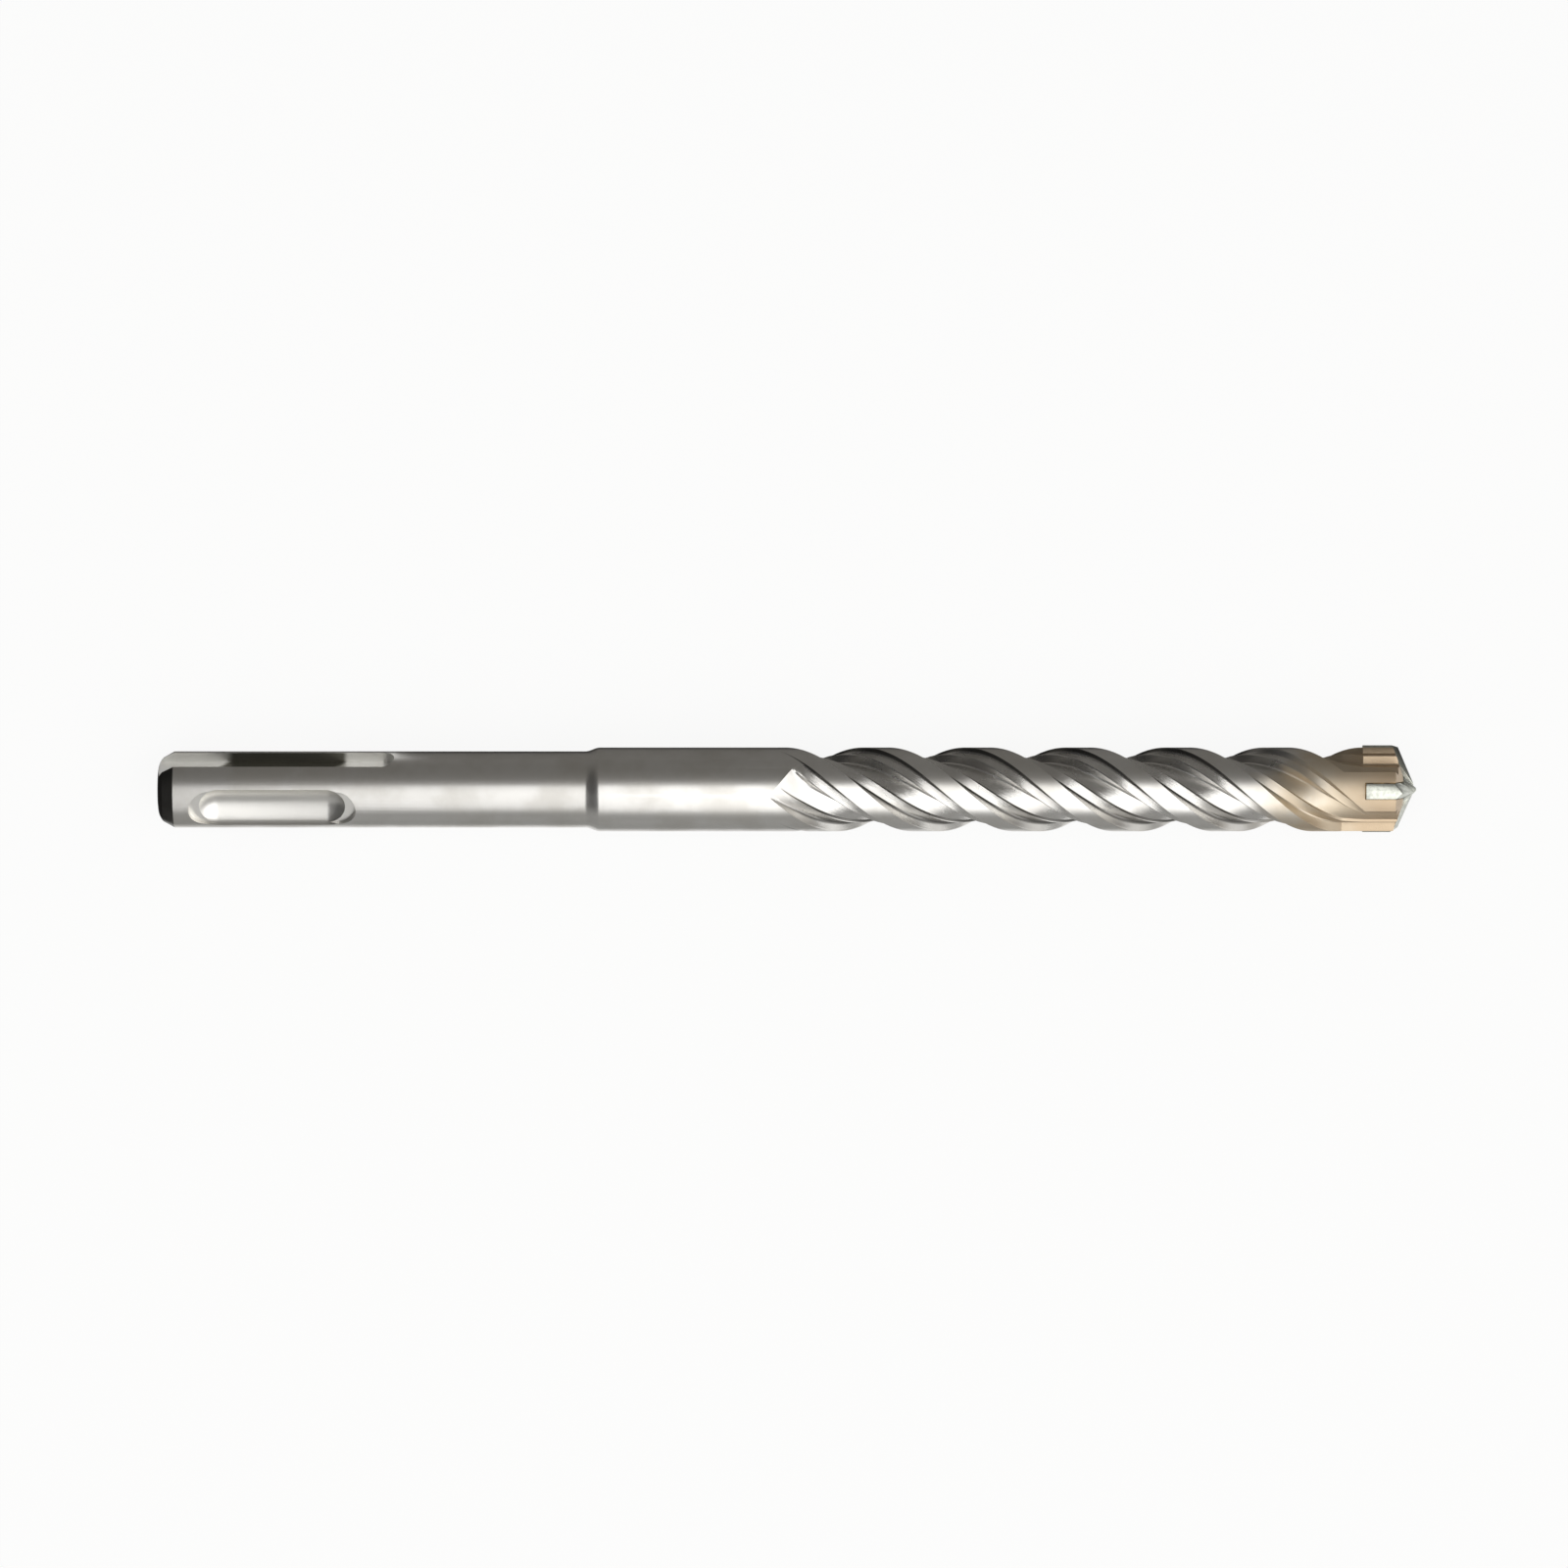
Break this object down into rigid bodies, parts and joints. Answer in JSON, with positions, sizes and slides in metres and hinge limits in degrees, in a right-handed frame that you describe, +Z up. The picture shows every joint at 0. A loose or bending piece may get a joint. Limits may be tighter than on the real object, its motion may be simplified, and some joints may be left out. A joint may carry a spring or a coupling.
{
  "type": "hammer drill bit",
  "caption": "Masonry hammer drill bit: a slotted round shank that locks into a rotary hammer, helical dust flutes and a winged carbide cutting insert brazed into the head.",
  "frame": {"origin": "centre of the flat striking face at the rear end of the shank, on the bit's axis", "axes": "+X along the axis towards the drilling point, +Z up as the bit lies, the side that the picture shows, +Y completes the right-handed frame"},
  "size_m": [0.165, 0.0114, 0.0116],
  "materials": {
    "steel": "satin ground shank and milled flutes, heat-tinted to golden brown towards the head",
    "carbide": "ground, slightly greenish grey",
    "braze": "dull"
  },
  "bodies": {
    "root": {"steel_body": "steel", "carbide_insert": "carbide", "braze_filler": "braze"}
  },
  "joints": []
}
